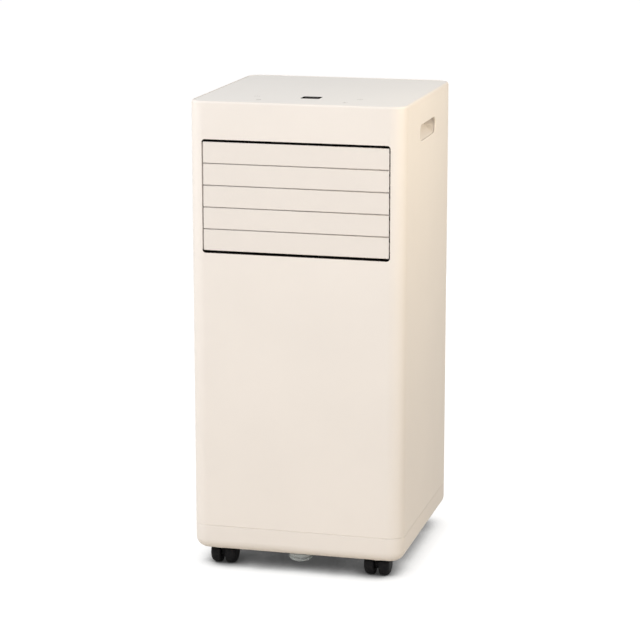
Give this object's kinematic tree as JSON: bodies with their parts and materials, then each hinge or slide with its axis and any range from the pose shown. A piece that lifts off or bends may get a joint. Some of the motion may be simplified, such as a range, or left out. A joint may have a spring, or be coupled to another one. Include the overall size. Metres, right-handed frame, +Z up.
{
  "type": "portable air conditioner",
  "caption": "Upright cream cabinet on twin-wheel casters that cools a room: slatted swing louver in front, touch keys on top, filter grilles and a round hose port behind.",
  "frame": {"origin": "on the floor, under the middle of the cabinet", "axes": "+Z up, the louvered front faces -Y, +X is the right-hand side of someone facing the front"},
  "size_m": [0.32, 0.33, 0.7],
  "materials": {
    "shell_plastic": "fine moulded grain",
    "base_plastic": "fine moulded grain",
    "cover_plastic": "satin film over a moulding",
    "slat_plastic": "satin moulding",
    "inner_plastic": "dark moulding",
    "casing_plastic": "plain moulding",
    "fan_plastic": "plain moulding",
    "smoked_window": "polished",
    "circuit_board": "solder mask",
    "caster_plastic": "satin nylon",
    "caster_tread": "hard nylon",
    "clear_plastic": "clear moulding",
    "rubber_black": "matt",
    "fin_aluminium": "bright foil",
    "copper_tube": "drawn tube",
    "black_steel": "semi gloss paint",
    "zinc_steel": "zinc plated",
    "filter_mesh": "woven net"
  },
  "bodies": {
    "cabinet": {"front_shell": "shell_plastic", "rear_panel": "shell_plastic", "top_cover": "cover_plastic", "base_pan": "base_plastic", "grip_cups": "shell_plastic", "display_window": "smoked_window", "control_board": "circuit_board", "outlet_duct": "inner_plastic", "swing_motor": "zinc_steel", "drip_deck": "casing_plastic", "cold_blower_casing": "casing_plastic", "cold_blower_motor": "zinc_steel", "hot_blower_casing": "casing_plastic", "hot_blower_motor": "zinc_steel", "exhaust_duct": "inner_plastic", "compressor": "black_steel", "compressor_grommets": "rubber_black", "compressor_bolts": "zinc_steel", "accumulator": "black_steel", "refrigerant_pipes": "copper_tube", "control_box": "zinc_steel", "splash_motor": "zinc_steel", "cord_gland": "rubber_black", "panel_screws": "zinc_steel", "evaporator_fins": "fin_aluminium", "evaporator_bends": "copper_tube", "condenser_fins": "fin_aluminium", "condenser_bends": "copper_tube"},
    "cold_fan": {"cold_blower_wheel": "fan_plastic", "cold_blower_shaft": "zinc_steel"},
    "hot_fan": {"hot_blower_wheel": "fan_plastic", "hot_blower_shaft": "zinc_steel"},
    "splash": {"splash_wheel": "fan_plastic"},
    "upper_filter_grille": {"upper_grille": "shell_plastic", "upper_filter": "filter_mesh"},
    "lower_filter_grille": {"lower_grille": "shell_plastic", "lower_filter": "filter_mesh"},
    "drain_cup": {"drain_cup": "clear_plastic"},
    "louver_link": {"louver_link": "inner_plastic"},
    "key_power": {"key_power": "cover_plastic"},
    "key_mode": {"key_mode": "cover_plastic"},
    "key_fan_speed": {"key_fan_speed": "cover_plastic"},
    "key_timer": {"key_timer": "cover_plastic"},
    "louver_slat_1": {"louver_slat_1": "slat_plastic"},
    "louver_slat_2": {"louver_slat_2": "slat_plastic"},
    "louver_slat_3": {"louver_slat_3": "slat_plastic"},
    "louver_slat_4": {"louver_slat_4": "slat_plastic"},
    "louver_slat_5": {"louver_slat_5": "slat_plastic"},
    "caster_front_left": {"caster_fork_front_left": "caster_plastic"},
    "wheel_front_left_a": {"caster_wheel_front_left_a": "caster_tread"},
    "wheel_front_left_b": {"caster_wheel_front_left_b": "caster_tread"},
    "caster_front_right": {"caster_fork_front_right": "caster_plastic"},
    "wheel_front_right_a": {"caster_wheel_front_right_a": "caster_tread"},
    "wheel_front_right_b": {"caster_wheel_front_right_b": "caster_tread"},
    "caster_rear_left": {"caster_fork_rear_left": "caster_plastic"},
    "wheel_rear_left_a": {"caster_wheel_rear_left_a": "caster_tread"},
    "wheel_rear_left_b": {"caster_wheel_rear_left_b": "caster_tread"},
    "caster_rear_right": {"caster_fork_rear_right": "caster_plastic"},
    "wheel_rear_right_a": {"caster_wheel_rear_right_a": "caster_tread"},
    "wheel_rear_right_b": {"caster_wheel_rear_right_b": "caster_tread"}
  },
  "joints": [
    {"name": "louver_slat_1_swing", "type": "hinge", "parent": "cabinet", "child": "louver_slat_1", "pos_m": [0, -0.155, 0.49775], "axis": [1, 0, 0], "range_deg": [0, 75]},
    {"name": "louver_slat_2_swing", "type": "hinge", "parent": "cabinet", "child": "louver_slat_2", "pos_m": [0, -0.155, 0.52975], "axis": [1, 0, 0], "range_deg": [0, 75]},
    {"name": "louver_slat_3_swing", "type": "hinge", "parent": "cabinet", "child": "louver_slat_3", "pos_m": [0, -0.155, 0.56175], "axis": [1, 0, 0], "range_deg": [0, 75]},
    {"name": "louver_slat_4_swing", "type": "hinge", "parent": "cabinet", "child": "louver_slat_4", "pos_m": [0, -0.155, 0.59375], "axis": [1, 0, 0], "range_deg": [0, 75]},
    {"name": "louver_slat_5_swing", "type": "hinge", "parent": "cabinet", "child": "louver_slat_5", "pos_m": [0, -0.155, 0.62575], "axis": [1, 0, 0], "range_deg": [0, 75]},
    {"name": "louver_link_swing", "type": "hinge", "parent": "louver_slat_3", "child": "louver_link", "pos_m": [-0.1461, -0.146, 0.56175], "axis": [1, 0, 0], "range_deg": [-75, 0]},
    {"name": "cold_fan_spin", "type": "hinge", "parent": "cabinet", "child": "cold_fan", "pos_m": [0, 0.009, 0.565], "axis": [1, 0, 0], "continuous": true},
    {"name": "hot_fan_spin", "type": "hinge", "parent": "cabinet", "child": "hot_fan", "pos_m": [0, -0.015, 0.35], "axis": [1, 0, 0], "continuous": true},
    {"name": "splash_spin", "type": "hinge", "parent": "cabinet", "child": "splash", "pos_m": [0.075, 0.087, 0.085], "axis": [0, 1, 0], "continuous": true},
    {"name": "key_power_press", "type": "slide", "parent": "cabinet", "child": "key_power", "axis": [0, 0, -1], "range_m": [0, 0.0005], "stiffness_N_per_m": 2500},
    {"name": "key_mode_press", "type": "slide", "parent": "cabinet", "child": "key_mode", "axis": [0, 0, -1], "range_m": [0, 0.0005], "stiffness_N_per_m": 2500},
    {"name": "key_fan_speed_press", "type": "slide", "parent": "cabinet", "child": "key_fan_speed", "axis": [0, 0, -1], "range_m": [0, 0.0005], "stiffness_N_per_m": 2500},
    {"name": "key_timer_press", "type": "slide", "parent": "cabinet", "child": "key_timer", "axis": [0, 0, -1], "range_m": [0, 0.0005], "stiffness_N_per_m": 2500},
    {"name": "upper_grille_pull", "type": "slide", "parent": "cabinet", "child": "upper_filter_grille", "axis": [0, 1, 0], "range_m": [0, 0.06]},
    {"name": "lower_grille_pull", "type": "slide", "parent": "cabinet", "child": "lower_filter_grille", "axis": [0, 1, 0], "range_m": [0, 0.06]},
    {"name": "drain_cup_pull", "type": "slide", "parent": "cabinet", "child": "drain_cup", "axis": [0, 0, -1], "range_m": [0, 0.0085]},
    {"name": "caster_front_left_swivel", "type": "hinge", "parent": "cabinet", "child": "caster_front_left", "pos_m": [-0.118, -0.125, 0.05], "axis": [0, 0, 1], "continuous": true},
    {"name": "wheel_front_left_a_roll", "type": "hinge", "parent": "caster_front_left", "child": "wheel_front_left_a", "pos_m": [-0.118, -0.134, 0.017], "axis": [1, 0, 0], "continuous": true},
    {"name": "wheel_front_left_b_roll", "type": "hinge", "parent": "caster_front_left", "child": "wheel_front_left_b", "pos_m": [-0.118, -0.134, 0.017], "axis": [1, 0, 0], "continuous": true},
    {"name": "caster_front_right_swivel", "type": "hinge", "parent": "cabinet", "child": "caster_front_right", "pos_m": [0.118, -0.125, 0.05], "axis": [0, 0, 1], "continuous": true},
    {"name": "wheel_front_right_a_roll", "type": "hinge", "parent": "caster_front_right", "child": "wheel_front_right_a", "pos_m": [0.118, -0.134, 0.017], "axis": [1, 0, 0], "continuous": true},
    {"name": "wheel_front_right_b_roll", "type": "hinge", "parent": "caster_front_right", "child": "wheel_front_right_b", "pos_m": [0.118, -0.134, 0.017], "axis": [1, 0, 0], "continuous": true},
    {"name": "caster_rear_left_swivel", "type": "hinge", "parent": "cabinet", "child": "caster_rear_left", "pos_m": [-0.104, 0.125, 0.05], "axis": [0, 0, 1], "continuous": true},
    {"name": "wheel_rear_left_a_roll", "type": "hinge", "parent": "caster_rear_left", "child": "wheel_rear_left_a", "pos_m": [-0.104, 0.134, 0.017], "axis": [1, 0, 0], "continuous": true},
    {"name": "wheel_rear_left_b_roll", "type": "hinge", "parent": "caster_rear_left", "child": "wheel_rear_left_b", "pos_m": [-0.104, 0.134, 0.017], "axis": [1, 0, 0], "continuous": true},
    {"name": "caster_rear_right_swivel", "type": "hinge", "parent": "cabinet", "child": "caster_rear_right", "pos_m": [0.104, 0.125, 0.05], "axis": [0, 0, 1], "continuous": true},
    {"name": "wheel_rear_right_a_roll", "type": "hinge", "parent": "caster_rear_right", "child": "wheel_rear_right_a", "pos_m": [0.104, 0.134, 0.017], "axis": [1, 0, 0], "continuous": true},
    {"name": "wheel_rear_right_b_roll", "type": "hinge", "parent": "caster_rear_right", "child": "wheel_rear_right_b", "pos_m": [0.104, 0.134, 0.017], "axis": [1, 0, 0], "continuous": true}
  ],
  "couplings": [
    {"joint": "louver_slat_1_swing", "follows": "louver_slat_3_swing", "ratio": 1},
    {"joint": "louver_slat_2_swing", "follows": "louver_slat_3_swing", "ratio": 1},
    {"joint": "louver_slat_4_swing", "follows": "louver_slat_3_swing", "ratio": 1},
    {"joint": "louver_slat_5_swing", "follows": "louver_slat_3_swing", "ratio": 1},
    {"joint": "louver_link_swing", "follows": "louver_slat_3_swing", "ratio": -1}
  ]
}
